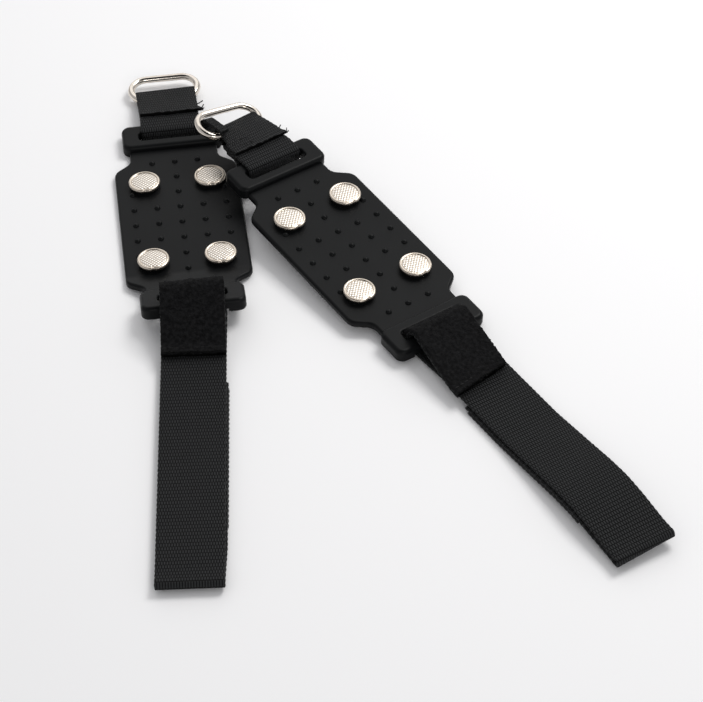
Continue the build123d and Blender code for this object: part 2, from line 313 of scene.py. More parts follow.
@dataclass(frozen=True)
class LoopPile(Finish):
    """Napped nylon loop: deep matt black, clouded with painted sheen where the loops lean different ways."""

    # The light tone is painted sheen, laid in random clouds.
    light: str = "1d1d1e"
    loop_mm: float = 0.5
    cloud_mm: float = 1.4

    def pattern(self, tree: NodeTree, shader: Node) -> None:
        """Clouded loops in two sizes; the clouds' lighter tone is painted sheen."""
        place = add(tree, "TexCoord").outputs["Object"]
        cloud = add(tree, "TexNoise", {"Vector": place, "Scale": 1 / (self.cloud_mm * MM), "Detail": 5.0,
                                       "Roughness": 0.62})
        loops = add(tree, "TexVoronoi", {"Vector": place, "Scale": 1 / (self.loop_mm * MM)})
        share = add(tree, "MapRange", {"Value": cloud.outputs["Fac"], "From Min": 0.4, "From Max": 0.7})
        height = add(tree, "Math", {0: loops.outputs["Distance"], 1: 0.6, 2: cloud.outputs["Fac"]},
                     operation="MULTIPLY_ADD")
        self.lay(tree, shader, share.outputs["Result"], (self.colour, self.light), height.outputs["Value"],
                 1.0, 0.35)


@dataclass(frozen=True)
class HookTape(Finish):
    """Nylon hook tape: a woven ground with rows of small stiff hooks, whose glint is painted as a lighter
    tone on each hook.
    """

    # The tip tone is a painted glint on each hook.
    tip: str = "2a2a2b"
    hook_mm: float = 1.4

    def pattern(self, tree: NodeTree, shader: Node) -> None:
        """Hooks in rows, a little coarser than real ones so that they show; each hook's lighter middle is a
        painted glint.
        """
        laid = add(tree, "UVMap", uv_map=WEAVE_MAP).outputs["UV"]
        hooks = add(tree, "TexVoronoi", {"Vector": laid, "Scale": 1 / self.hook_mm, "Randomness": 0.25})
        share = add(tree, "MapRange", {"Value": hooks.outputs["Distance"], "From Min": 0.1, "From Max": 0.45,
                                       "To Min": 1.0, "To Max": 0.0}).outputs["Result"]
        self.lay(tree, shader, share, (self.colour, self.tip), share, 1.0, 0.4)


@dataclass(frozen=True)
class SewingThread(Finish):
    """Twisted polyester thread: a slight sheen on its plies."""

    shade: str = "0b0b0c"
    ply_mm: float = 0.25

    def pattern(self, tree: NodeTree, shader: Node) -> None:
        """Fine plies along the stitch."""
        place = add(tree, "TexCoord").outputs["Object"]
        plies = add(tree, "TexNoise", {"Vector": place, "Scale": 1 / (self.ply_mm * MM),
                                       "Detail": 2.0}).outputs["Fac"]
        self.lay(tree, shader, plies, (self.shade, self.colour), plies, 0.5, 0.1)


@dataclass(frozen=True)
class StudioPaper(Finish):
    """The white paper sweep that the cleats lie on."""


@dataclass(frozen=True)
class Palette:
    """Every finish on the cleats, made once."""

    rubber: Material
    nickel: Material
    button: Material
    knurl: dict[str, Material]
    webbing: Material
    pile: Material
    hook: Material
    thread: Material


def make_palette() -> Palette:
    """Makes the palette; rubber scatters little, polymer fibre has IOR 1.49, and metals keep the default."""
    knurl = {
        side: KnurledNickel("knurled_nickel_" + side, "fbf7f1", 0.42, metallic=1.0, turned=turned).make()
        for side, turned in (("left", 0.0), ("right", -28.0))
    }
    return Palette(
        rubber=MouldedRubber("moulded_black_rubber", "0d0e0f", 0.36, ior=1.42, specular=0.14).make(),
        nickel=NickelPlate("bright_nickel_wire", "e6ded4", 0.13, metallic=1.0).make(),
        button=NickelPlate("tumbled_nickel_button", "ddd2c4", 0.27, metallic=1.0).make(),
        knurl=knurl,
        webbing=WovenWebbing("woven_polypropylene_webbing", "2e2f30", 0.5, ior=1.49, specular=0.1).make(),
        pile=LoopPile("napped_nylon_loop_pile", "0b0b0c", 0.95, ior=1.3, specular=0.2, sheen=0.02).make(),
        hook=HookTape("nylon_hook_tape", "0f0f10", 0.6, ior=1.53).make(),
        thread=SewingThread("polyester_sewing_thread", "131314", 0.6, ior=1.55, specular=0.2).make(),
    )


# ---- mesh and routes


def finish_piece(bm: BMesh, name: str, materials: Sequence[Material], crease: float = 50.0) -> Object:
    """Turns a bmesh in millimetres into a piece in metres, shaded smooth up to a crease angle.

    Args:
        bm: The shape, which is freed.
        name: The piece's name.
        materials: Its materials, by index.
        crease: Edges sharper than this stay sharp, in degrees.

    Returns:
        The new object.
    """
    bmesh.ops.transform(bm, matrix=Matrix.Scale(MM, 4), verts=bm.verts)
    for face in bm.faces:
        face.smooth = True
    for edge in bm.edges:
        edge.smooth = edge.is_manifold and edge.calc_face_angle(0) < radians(crease)
    mesh = bpy.data.meshes.new(name)
    bm.to_mesh(mesh)
    bm.free()
    for material in materials:
        mesh.materials.append(material)
    piece = bpy.data.objects.new(name, mesh)
    bpy.context.scene.collection.objects.link(piece)
    return piece


def settle(piece: Object, slot: Slot, body: str | None, *nodes: str) -> Object:
    """Hides the CAD nodes that a piece stands for, puts it on its body and logs its slot.

    Args:
        piece: The finished piece.
        slot: The record's slot.
        body: The body that it rides on, or None to leave it unparented.
        nodes: The CAD nodes that it replaces.

    Returns:
        The same piece.
    """
    if nodes:
        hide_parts(*nodes)
    if body:
        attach(piece, body)
    LOG.info("%s: %d faces, %s", piece.name, len(piece.data.polygons), slot.value)
    return piece


@dataclass(frozen=True)
class Turn:
    """A corner of a band's route: its place, which way the band's width points there, and its bend radius."""

    at: Vector
    side: Vector
    radius: float = 0.0


@dataclass(frozen=True)
class Station:
    """A place on a band's centreline, with the band's own axes there."""

    at: Vector
    side: Vector
    up: Vector


class Route:
    """A band's smooth centreline through its turns."""

    def __init__(self, turns: Sequence[Turn]) -> None:
        """Rounds each corner with an arc.

        Args:
            turns: The corners, first and last included.
        """
        self.points: list[Vector] = []
        self.sides: list[Vector] = []
        self._add(turns[0].at, turns[0].side)
        for before, turn, after in zip(turns, turns[1:], turns[2:]):
            self._round(before, turn, after)
        self._add(turns[-1].at, turns[-1].side)
        self.run = [0.0]
        for a, b in zip(self.points, self.points[1:]):
            self.run.append(self.run[-1] + (b - a).length)
        self.length = self.run[-1]

    def _add(self, at: Vector, side: Vector) -> None:
        """Adds a point to the centreline."""
        self.points.append(at.copy())
        self.sides.append(side.copy())

    def _round(self, before: Turn, turn: Turn, after: Turn) -> None:
        """Adds the arc at one corner."""
        into = (turn.at - before.at).normalized()
        out = (after.at - turn.at).normalized()
        angle = into.angle(out)
        room = 0.49 * min((turn.at - before.at).length, (after.at - turn.at).length)
        reach = min(turn.radius * tan(angle / 2), room)
        if angle < 0.01 or reach < 0.01:
            self._add(turn.at, turn.side)
            return
        radius = reach / tan(angle / 2)
        start = turn.at - into * reach
        centre = start + (out - into * into.dot(out)).normalized() * radius
        axis = into.cross(out).normalized()
        steps = max(2, ceil(angle / radians(7)))
        for step in range(steps + 1):
            spoke = Quaternion(axis, angle * step / steps) @ (start - centre)
            self._add(centre + spoke, turn.side)

    def station(self, s: float) -> Station:
        """Finds the place at a distance along the route.

        Args:
            s: Distance from the start, in millimetres.

        Returns:
            The station there.
        """
        s = min(max(s, 0.0), self.length)
        i = min(max(bisect_left(self.run, s) - 1, 0), len(self.run) - 2)
        span = max(self.run[i + 1] - self.run[i], 1e-9)
        share = (s - self.run[i]) / span
        at = self.points[i].lerp(self.points[i + 1], share)
        side = self.sides[i].lerp(self.sides[i + 1], share)
        ahead = self._tangent(i, share)
        side = (side - ahead * side.dot(ahead)).normalized()
        return Station(at, side, side.cross(ahead).normalized())

    def _tangent(self, i: int, share: float) -> Vector:
        """The direction in segment i, eased towards its neighbours."""
        here = (self.points[i + 1] - self.points[i]).normalized()
        beside = i - 1 if share < 0.5 else i + 1
        if not 0 <= beside < len(self.points) - 1:
            return here
        other = (self.points[beside + 1] - self.points[beside]).normalized()
        return here.lerp((here + other) / 2, abs(1 - 2 * share)).normalized()


@dataclass
class Band:
    """A flat band swept along part of a route, with rounded edges and scalloped selvedges.

    left and right give the band's edges at a distance along the route, thickness its thickness, lift how
    far it stands off the route on the upper side, fray how ragged its cut ends are and fuzz how far its upper
    side is roughened. skew slants its first end.
    """

    name: str
    route: Route
    start: float
    stop: float
    material: Material
    left: Callable[[float], float] = lambda s: -WEB_HALF_W
    right: Callable[[float], float] = lambda s: WEB_HALF_W
    thickness: float = WEB_T
    lift: float = 0.0
    scallop: float = 0.2
    fray: tuple[float, float] = (0.0, 0.0)
    fuzz: float = 0.0
    step: float = 0.5
    columns: int = 20
    skew: float = 0.0
    seed: int = 3

    def section(self) -> list[tuple[float, float]]:
        """The band's section: share of its width from -1 to 1, and share of half its thickness.

        Returns:
            The loop's points, from the left edge over the top and back underneath, closed on its first point.
        """
        inset = 0.03
        top = [(-1 + inset + 2 * (1 - inset) * i / self.columns, 1.0) for i in range(self.columns + 1)]
        turn = [(1 - inset * (1 - cos(a)), sin(a)) for a in (radians(50), radians(0), radians(-50))]
        half = top + turn
        return half + [(-u, -n) for u, n in half] + [half[0]]

    def build(self) -> Object:
        """Sweeps the section along the route.

        Returns:
            The finished piece.
        """
        loop = self.section()
        rows = max(2, round((self.stop - self.start) / self.step))
        bm = bmesh.new()
        bmesh.ops.create_grid(bm, x_segments=len(loop) - 1, y_segments=rows, size=1.0)
        laid = bm.loops.layers.uv.new(WEAVE_MAP)
        places = {v: (round((v.co.x + 1) / 2 * (len(loop) - 1)), round((v.co.y + 1) / 2 * rows))
                  for v in bm.verts}
        around = [0.0]
        for (u0, n0), (u1, n1) in zip(loop, loop[1:]):
            side = Vector(((u1 - u0) * WEB_HALF_W, (n1 - n0) * 0.5 * self.thickness))
            around.append(around[-1] + side.length)
        for face in bm.faces:
            for corner in face.loops:
                column, row = places[corner.vert]
                corner[laid].uv = (around[column], self._along(row, rows))
        chance = random.Random(self.seed)
        ragged = [[chance.uniform(-1, 1) for _ in loop] for _ in range(2)]
        stations = [self.route.station(self._along(row, rows)) for row in range(rows + 1)]
        for vert, (column, row) in places.items():
            self._place(vert, loop, column, row, rows, stations, ragged)
        bmesh.ops.remove_doubles(bm, verts=bm.verts, dist=1e-4)
        bmesh.ops.holes_fill(bm, edges=[e for e in bm.edges if e.is_boundary], sides=0)
        bmesh.ops.recalc_face_normals(bm, faces=bm.faces)
        return finish_piece(bm, self.name, [self.material])

    def _along(self, row: int, rows: int) -> float:
        """The distance along the route of one row."""
        return self.start + (self.stop - self.start) * row / rows

    def _place(self, vert: BMVert, loop: list[tuple[float, float]], column: int, row: int,
               rows: int, stations: list[Station], ragged: list[list[float]]) -> None:
        """Moves one grid vertex to its place on the band."""
        share_u, share_n = loop[column]
        s = self._along(row, rows)
        left, right = self.left(s), self.right(s)
        u = 0.5 * (left + right) + 0.5 * (right - left) * share_u
        edge = max(0.0, (abs(share_u) - 0.9) / 0.1)
        u += (1 if share_u > 0 else -1) * edge * self.scallop * (abs(sin(pi * s / SELVEDGE_PITCH)) - 0.5)
        n = self.lift + 0.5 * self.thickness * share_n
        here = stations[row]
        if self.fuzz and share_n > 0.5:
            rough = (noise.noise(Vector((u * 1.1, s * 1.1, 0.7)))
                     + 0.5 * noise.noise(Vector((u * 2.6, s * 2.6, 4.1))))
            n += self.fuzz * rough * min(1.0, (1 - abs(share_u)) / 0.12)
        back = here.side.cross(here.up)
        slant = self.skew * u * max(0.0, 1 - (s - self.start) / SKEW_REACH)
        spot = here.at + here.side * u + here.up * n - back * slant
        if row in (0, rows):
            end = 0 if row == 0 else 1
            spot += back * self.fray[end] * ragged[end][column % (len(loop) - 1)]
        vert.co = spot


# ---- sub-assemblies


def placed(origin: Sequence[float], x_dir: Sequence[float], z_dir: Sequence[float]) -> Matrix:
    """Makes a placement from an origin and two axes.

    Args:
        origin: The placement's origin, in millimetres.
        x_dir: Its X axis, made square to the Z axis.
        z_dir: Its Z axis.

    Returns:
        The placement's matrix.
    """
    z = Vector(z_dir).normalized()
    x = Vector(x_dir)
    x = (x - z * x.dot(z)).normalized()
    basis = Matrix((x, z.cross(x), z)).transposed().to_4x4()
    return Matrix.Translation(Vector(origin)) @ basis


@dataclass(frozen=True)
class Pose:
    """How one cleat lies: the same numbers as in the CAD source, in millimetres and degrees."""

    side: str
    plate: Matrix
    end_lift: float
    tab_drop: float
    tab_roll: float
    ring_rise: float
    arch: float
    root_rise: float
    seam_s: float
    strap_origin: tuple[float, float]
    strap_yaw: float
    strap_s: float
    hook_side: float

    @property
    def end(self) -> Matrix:
        """The frame of the bent-up strap end."""
        arc = BEND_R_MID * radians(self.end_lift)
        centre = Matrix.Translation((0, -BEND_Y, BEND_R_MID + 0.5 * PLATE_T))
        turn = Matrix.Rotation(radians(-self.end_lift), 4, "X")
        return self.plate @ centre @ turn @ centre.inverted() @ Matrix.Translation((0, arc, 0))

    @property
    def tab(self) -> Matrix:
        """The tab's frame: origin on its bend line, Y along the tab."""
        hinge = Matrix.Translation((0, TAB_HINGE_Y, TAB_HINGE_Z))
        droop = Matrix.Rotation(radians(-self.tab_drop), 4, "X")
        return self.plate @ hinge @ droop @ Matrix.Rotation(radians(self.tab_roll), 4, "Y")

    @property
    def ring(self) -> Matrix:
        """The ring's frame: origin in the middle of its near bar."""
        rise = Matrix.Rotation(radians(self.ring_rise), 4, "X")
        return self.tab @ Matrix.Translation((0, RING_S, RING_N)) @ rise

    @property
    def strap(self) -> Matrix:
        """The strap's frame on the floor: origin under its bar, the strap running along -Y."""
        return Matrix.Translation((*self.strap_origin, 0)) @ Matrix.Rotation(radians(self.strap_yaw), 4, "Z")

    def name(self, part: str) -> str:
        """The name of one of this cleat's parts."""
        return f"{self.side}_{part}"


@dataclass
class RubberPlate:
    """The moulded plate, whose CAD solid already has its real shape, and its washers."""

    pose: Pose
    palette: Palette

    def dress(self) -> None:
        """Gives the CAD plate and washers their finish."""
        dressed = {self.pose.name("plate"): self.palette.rubber}
        dressed |= {self.pose.name(f"rivet_washer_{n}"): self.palette.button for n in range(1, 5)}
        for node, material in dressed.items():
            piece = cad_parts[node]
            piece.data.materials.clear()
            piece.data.materials.append(material)
            LOG.info("%s: dressed as %s", node, material.name)


@dataclass
class Stud:
    """A riveted button: plain rolled rim, knurled face, shank and peened end."""

    pose: Pose
    palette: Palette
    number: int
    centre: tuple[float, float]
    top: float = 5.9
    radius: float = 6.4
    face_radius: float = 5.05
    head: float = 1.6
    shank: float = 2.0
    notch: float = 0.5

    def build(self) -> Object:
        """Spins the stud's profile, then presses the notch into its rim.

        Returns:
            The finished stud.
        """
        t, r, f = self.top, self.radius, self.face_radius
        profile = [(0, t - 0.02), (2.0, t - 0.05), (3.8, t - 0.14), (f, t - 0.26), (f + 0.12, t - 0.3),
                   (f + 0.3, t - 0.1), (f + 0.6, t), (r - 0.4, t - 0.05), (r - 0.12, t - 0.28), (r, t - 0.62),
                   (r, t - self.head + 0.45), (r - 0.18, t - self.head + 0.1), (r - 0.5, t - self.head),
                   (self.shank, t - self.head), (self.shank, 0.5), (2.9, 0.5), (2.9, 0.25), (2.5, 0.1),
                   (0, 0.1)]
        bm = bmesh.new()
        verts = [bm.verts.new((x, 0, z)) for x, z in profile]
        edges = [bm.edges.new(pair) for pair in zip(verts, verts[1:])]
        bmesh.ops.spin(bm, geom=verts + edges, cent=(0, 0, 0), axis=(0, 0, 1), angle=2 * pi, steps=72,
                       use_merge=True)
        bmesh.ops.remove_doubles(bm, verts=bm.verts, dist=1e-4)
        bmesh.ops.recalc_face_normals(bm, faces=bm.faces)
        for face in bm.faces:
            middle = face.calc_center_median()
            face.material_index = 1 if middle.z > t - 0.28 and middle.xy.length < f else 0
        for vert in bm.verts:
            self._notch(vert)
        x, y = self.centre
        bmesh.ops.transform(bm, matrix=self.pose.plate @ Matrix.Translation((x, y, 0)), verts=bm.verts)
        name = self.pose.name(f"stud_{self.number}_button")
        piece = finish_piece(bm, name, [self.palette.button, self.palette.knurl[self.pose.side]], crease=60)
        return settle(piece, Slot.STUD, self.pose.name("cleat"), self.pose.name(f"stud_{self.number}"))

    def _notch(self, vert: BMVert) -> None:
        """Pulls in and drops the rim at the strap side, which leaves a lobe on each side."""
        flat = vert.co.xy.length
        if flat < self.face_radius or vert.co.z < self.top - self.head - 0.1:
            return
        aside = abs(vert.co.x) / 1.1
        if vert.co.y < 0 and aside < 1.5:
            press = self.notch * max(0.0, cos(aside * pi / 3)) ** 2
            vert.co.y += press
            vert.co.z -= 0.5 * press * (flat - self.face_radius) / (self.radius - self.face_radius)


@dataclass
class WireRing:
    """The oval ring: round nickel-plated wire through the tab's fold, slid a little along it."""

    pose: Pose
    palette: Palette
    slid: float

    def build(self) -> Object:
        """Spins the wire round both ends and joins them with straight bars.

        Returns:
            The finished ring.
        """
        bm = bmesh.new()
        half, bend = RING_STRAIGHT_HALF, RING_BEND_R
        turn = Matrix.Translation((half, 0, 0)) @ Matrix.Rotation(pi / 2, 4, "Y")
        start = bmesh.ops.create_circle(bm, segments=20, radius=RING_WIRE_R, matrix=turn)["verts"]
        geometry = list(start) + list({e for v in start for e in v.link_edges})
        for side in (1, -1):
            spun = bmesh.ops.spin(bm, geom=geometry, cent=(side * half, bend, 0), axis=(0, 0, 1), angle=pi,
                                  steps=28)["geom_last"]
            spun = [e for e in spun if isinstance(e, BMEdge)]
            geometry = bmesh.ops.extrude_edge_only(bm, edges=spun)["geom"]
            ends = [v for v in geometry if isinstance(v, BMVert)]
            bmesh.ops.translate(bm, verts=ends, vec=(-side * 2 * half, 0, 0))
            geometry = ends + [e for e in geometry if isinstance(e, BMEdge)]
        bmesh.ops.remove_doubles(bm, verts=bm.verts, dist=1e-3)
        bmesh.ops.recalc_face_normals(bm, faces=bm.faces)
        at = self.pose.ring @ Matrix.Translation((self.slid, 0, 0))
        bmesh.ops.transform(bm, matrix=at, verts=bm.verts)
        piece = finish_piece(bm, self.pose.name("wire_ring"), [self.palette.nickel], crease=80)
        return settle(piece, Slot.RING, self.pose.name("ring"), self.pose.name("d_ring"))


@dataclass
class Tab:
    """The short tab: webbing from its cut lip, round the ring, round the bar and back inside the fold."""

    pose: Pose
    palette: Palette
    fold_left: float = -12.6
    fold_right: float = 12.2
    fold_end: float = 20.6
    fold_turn: float = 2.0
    lip_s: float = 0.6
    lip_turn: float = 1.5
    flare: float = 2.2
    loose: float = 0.75
    bulges: bool = False

    @property
    def middle(self) -> float:
        """How far along the webbing its fold is."""
        return self.fold_end - self.lip_s + 1.0

    def route(self) -> Route:
        """The webbing's route, lip first.

        Returns:
            The route.
        """
        tab, plate = self.pose.tab, self.pose.plate
        flat = tab @ Matrix.Rotation(radians(-self.pose.tab_roll), 4, "Y")
        lip = flat @ self._turned(5.0, self.lip_turn)
        flap = flat @ self._turned(11.0, 0.5 * (self.lip_turn + self.fold_turn))
        half_flat = tab @ Matrix.Rotation(radians(-0.5 * self.pose.tab_roll), 4, "Y")
        fold = half_flat @ self._turned(18.0, self.fold_turn)
        high, low = RING_N + FOLD_R, RING_N - FOLD_R
        over = BLOCK_TOP + 1.0
        corners = [
            (lip, self.lip_s, 2.05, 0.0), (flap, 11.0, 2.3, 30.0), (fold, self.fold_end, high, FOLD_R),
            (fold, self.fold_end, low, FOLD_R), (fold, 12.8, low, 6.0),
            (flat, 10.0, -0.65, 6.0), (flat, 1.0, -0.65, 6.0), (plate, 62.0, BAR_UNDER_Z, 3.0),
            (plate, BAR_INNER_Y, BAR_UNDER_Z, 1.2), (plate, BAR_INNER_Y, over, 1.6), (plate, 61.5, over, 6.0),
            (flat, 1.5, 0.65, 4.0), (flat, 9.4, 0.65, 0.0),
        ]
        return Route([Turn(at @ Vector((0, y, z)), at.to_3x3() @ Vector((1, 0, 0)), radius)
                      for at, y, z, radius in corners])

    def _turned(self, s: float, degrees: float) -> Matrix:
        """A turn within the tab's plane about its middle line at s."""
        pivot = Matrix.Translation((0, s, 0))
        return pivot @ Matrix.Rotation(radians(degrees), 4, "Z") @ pivot.inverted()

    def edge(self, side: float, s: float) -> float:
        """One edge of the webbing, which is drawn in where it passes through the ring.

        Args:
            side: -1 for the left edge and 1 for the right.
            s: Distance along the route.

        Returns:
            The edge's place across the band.
        """
        middle, reach = self.middle, 16.0
        share = max(0.0, 1 - ((s - middle) / reach) ** 2) ** 0.8
        narrow = self.fold_left if side < 0 else self.fold_right
        flare = self.flare * max(0.0, 1 - s / 3.0) if side > 0 else 0.0
        return side * (WEB_HALF_W - 0.3) * (1 - share) + narrow * share + flare

    def build(self) -> list[Object]:
        """Builds the webbing and its stitches.

        Returns:
            The finished pieces.
        """
        pose, route = self.pose, self.route()
        LOG.info("%s: %.0f mm of webbing", pose.name("tab"), route.length)
        band = Band(pose.name("tab_band"), route, 0.0, route.length, self.palette.webbing,
                    left=lambda s: self.edge(-1, s), right=lambda s: self.edge(1, s), fray=(0.6, 0.3),
                    step=0.45).build()
        settle(band, Slot.WEBBING, None, pose.name("tab_webbing"), pose.name("tab_bar_loop"))
        pose.name("cleat")
        pose.name("tab")
        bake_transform(band)
        places = [(-10.4 + 2.6 * i, s, 2.6) for s in (3.4, 7.4) for i in range(9)]
        stitches = build_stitches(pose.name("tab_stitches"), pose.tab, places, self.palette.thread)
        settle(stitches, Slot.THREAD, pose.name("tab"), pose.name("tab_stitching"))
        made = [band, stitches, *self._loose_threads(route)]
        return made + [self._bulge()] if self.bulges else made

    def _bulge(self) -> Object:
        """The slack edge of the webbing, which rolls up round the wire inside the ring."""
        pose = self.pose
        corners = [(-8.6, 13.0, -1.4), (-10.4, 25.0, -0.2), (-11.0, 25.2, 5.0), (-9.4, 13.0, 4.0)]
        side = pose.tab.to_3x3() @ Vector((1, 0, 0))
        route = Route([Turn(pose.tab @ Vector(corner), side, 2.9) for corner in corners])
        piece = Band(pose.name("tab_bulge"), route, 0.0, route.length, self.palette.webbing,
                     left=lambda s: -1.9, right=lambda s: 2.0, columns=6, step=0.4).build()
        settle(piece, Slot.WEBBING, None)
        pose.name("tab")
        pose.name("ring")
        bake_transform(piece)
        return piece

    def _loose_threads(self, route: Route) -> list[Object]:
        """Frayed filaments at the lip's right corner."""
        corner = route.station(0.3)
        made = []
        for number, spots in enumerate(LOOSE_THREADS, start=1):
            start, bend, end = (Vector(spot) for spot in spots)
            drawn = (start, bend.lerp(start, 1 - self.loose), end.lerp(start, 1 - self.loose))
            places = [corner.at + corner.side * u + corner.side.cross(corner.up) * -s + corner.up * n
                      for u, s, n in drawn]
            path = Route([Turn(at, corner.up, 1.2) for at in places])
            name = self.pose.name(f"loose_thread_{number}")
            made.append(Band(name, path, 0.0, path.length, self.palette.thread, left=lambda s: -0.17,
                             right=lambda s: 0.17, thickness=0.34, scallop=0.0, columns=2, step=0.3).build())
            settle(made[-1], Slot.WEBBING, self.pose.name("tab"))
        return made


def build_stitches(name: str, at: Matrix, places: Sequence[Triple], thread: Material) -> Object:
    """Builds a row of stitches as short, sunken loops of thread.

    Args:
        name: The piece's name.
        at: The frame that the places are in.
        places: Each stitch's middle, in millimetres.
        thread: The thread's material.

    Returns:
        The finished piece.
    """
    bm = bmesh.new()
    for place in places:
        shape = at @ Matrix.Translation(place) @ Matrix.Diagonal((0.95, 0.26, 0.16, 1))
        bmesh.ops.create_uvsphere(bm, u_segments=10, v_segments=6, radius=1.0, matrix=shape)
    return finish_piece(bm, name, [thread], crease=80)


@dataclass
class Strap:
    """The long strap: webbing round its bar, out along the floor and folded back, with pile and hook."""

    pose: Pose
    palette: Palette
    knee: float = 19.0
    knee_rise: float = 0.3
    hump: float = 0.0
    hump_twist: float = 0.0
    end_bulge: float = 0.5
    sway: float = 0.0
    lap_shift: float = 0.0
    lap_skew: float = 0.0
    route: Route = field(init=False)
    marks: dict[str, float] = field(init=False)

    def __post_init__(self) -> None:
        """Lays the route and finds where it passes from piece to piece."""
        strap, end, pose = self.pose.strap, self.pose.end, self.pose
        lap = RUN_MID_Z + WEB_T
        fold_r = 0.5 * (RUN_MID_Z - RETURN_MID_Z) + self.end_bulge
        corners = [
            (strap, -pose.seam_s, lap, 0.0), (strap, -self.knee, lap + self.knee_rise, 25.0),
            (end, -58.2, pose.arch, 3.5), (end, -54.0, pose.arch - 2.6, 2.6),
            (end, -BAR_INNER_Y, BAR_UNDER_Z, 1.2), (end, -62.5, BAR_UNDER_Z, 6.0),
            (strap, -19.0, RUN_MID_Z, 20.0), (strap, -40.0, RUN_MID_Z, 10.0),
        ]
        turns = [self._turn(*corner) for corner in corners]
        shifted = strap.to_3x3() @ Vector((self.lap_shift, 0, 0))
        turns[:2] = [Turn(turn.at + shifted, turn.side, turn.radius) for turn in turns[:2]]
        level = [s for s in (60.0, 80.0, 95.0, 105.0, 115.0, 123.0) if s < pose.strap_s - 8]
        turns += [self._turn(strap, -s, RUN_MID_Z, 40.0) for s in level]
        turns += [self._turn(strap, -(pose.strap_s - 6.0), RUN_MID_Z, 30.0),
                  self._turn(strap, -(pose.strap_s + self.end_bulge), RETURN_MID_Z + 2 * fold_r, fold_r),
                  self._turn(strap, -(pose.strap_s + self.end_bulge), RETURN_MID_Z, fold_r)]
        turns += [self._turn(strap, -s, RETURN_MID_Z, 40.0) for s in reversed(level)]
        turns.append(self._turn(strap, -FREE_END_S, RETURN_MID_Z))
        self.route = Route(turns)
        self.marks = self._find_marks()

    def _turn(self, at: Matrix, y: float, z: float, radius: float = 0.0) -> Turn:
        """Makes a turn, raised and twisted where the strap humps off the floor."""
        on_floor = at == self.pose.strap
        lift, twist = self._hump(-y) if on_floor else (0.0, 0.0)
        aside = self.sway * max(0.0, (-y - 60.0) / 75.0) ** 2 if on_floor else 0.0
        side = Vector((cos(twist), 0, sin(twist)))
        return Turn(at @ Vector((aside, y, z + lift)), at.to_3x3() @ side, radius)

    def _hump(self, s: float) -> tuple[float, float]:
        """How far the strap is raised and twisted at a distance along itself."""
        rise, top = 55.0, self.pose.strap_s - 25.0
        share = min(1.0, max(0.0, (s - rise) / (top - rise)))
        bell = share * share * (3 - 2 * share)
        past = min(1.0, max(0.0, (s - top) / 25.0))
        return self.hump * bell * (1 - 0.75 * past), self.hump_twist * bell

    def _find_marks(self) -> dict[str, float]:
        """Finds the distances along the route at which the strap's pieces meet.

        Returns:
            A distance for each named mark.
        """
        back = self.pose.strap.inverted()
        lies = [-(back @ p).y for p in self.route.points]
        run = self.route.run
        bar = min(range(len(lies)), key=lambda i: lies[i])
        far = max(range(len(lies)), key=lambda i: lies[i])

        def crossing(first: int, last: int, s: float) -> float:
            """Where the route passes s between two of its points."""
            for i in range(first, last):
                low, high = sorted((lies[i], lies[i + 1]))
                if low <= s <= high and high > low:
                    return run[i] + (run[i + 1] - run[i]) * abs(s - lies[i]) / (high - low)
            return run[last]

        tip = self.pose.strap_s - 3.5
        return {
            "bar": run[bar], "root": crossing(bar, far, 26.0), "fold_in": crossing(bar, far, tip),
            "fold_out": crossing(far, len(lies) - 1, tip), "hook_in": crossing(far, len(lies) - 1, HOOK_S1),
            "hook_out": crossing(far, len(lies) - 1, HOOK_S0),
        }

    def build(self) -> list[Object]:
        """Builds the webbing in four pieces, the pile, the hook tape and the seam.

        Returns:
            The finished pieces.
        """
        pose, route, mark, web = self.pose, self.route, self.marks, self.palette.webbing
        LOG.info("%s: %.0f mm of webbing, %.0f mm of pile, %.0f mm of hook tape", pose.name("strap"),
                 route.length, mark["bar"] + 1.0, mark["hook_out"] - mark["hook_in"])
        root = Band(pose.name("strap_root_band"), route, 0.0, mark["root"], web, fray=(0.4, 0.0),
                    skew=self.lap_skew).build()
        settle(root, Slot.WEBBING, None, pose.name("strap_bar_loop"), pose.name("strap_root"),
               pose.name("strap_lap"))
        pose.name("cleat")
        pose.name("strap")
        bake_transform(root)
        run = Band(pose.name("strap_run_band"), route, mark["root"], mark["fold_in"], web).build()
        settle(run, Slot.WEBBING, None, pose.name("strap_run"))
        pose.name("strap")
        pose.name("strap_far")
        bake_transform(run)
        fold = Band(pose.name("strap_fold_band"), route, mark["fold_in"], mark["fold_out"], web,
                    step=0.3).build()
        settle(fold, Slot.WEBBING, None)
        pose.name("strap_far")
        pose.name("strap_tail")
        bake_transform(fold)

        def aside(s: float) -> float:
            """How far the folded-back webbing has strayed to the hook tape's side."""
            return pose.hook_side * 0.7 * min(1.0, (s - mark["fold_out"]) / 15.0)

        tail = Band(pose.name("strap_return_band"), route, mark["fold_out"], route.length, web,
                    left=lambda s: aside(s) - WEB_HALF_W, right=lambda s: aside(s) + WEB_HALF_W,
                    fray=(0.0, 0.5)).build()
        settle(tail, Slot.WEBBING, pose.name("strap_tail"), pose.name("strap_return"))
        return [root, run, fold, tail, self._pile(), self._hook(), self._seam()]

    def _pile(self) -> Object:
        """The pile pad on the outside of the loop, from inside the slot to the seam."""
        pose, stop = self.pose, self.marks["bar"] + 1.0
        pile = Band(pose.name("pile_pad_band"), self.route, 0.0, stop, self.palette.pile, thickness=PILE_T,
                    left=lambda s: -WEB_HALF_W + 0.1 + 0.35 * noise.noise(Vector((0.9 * s, 0, 2.0))),
                    right=lambda s: WEB_HALF_W - 0.1 + 0.35 * noise.noise(Vector((0.9 * s, 5.0, 2.0))),
                    scallop=0.05, lift=0.5 * (WEB_T + PILE_T), fuzz=0.3, fray=(0.4, 0.1), columns=44,
                    skew=self.lap_skew).build()
        settle(pile, Slot.PILE, None, pose.name("pile_root"), pose.name("pile_pad"))
        pose.name("cleat")
        pose.name("strap")
        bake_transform(pile)
        return pile

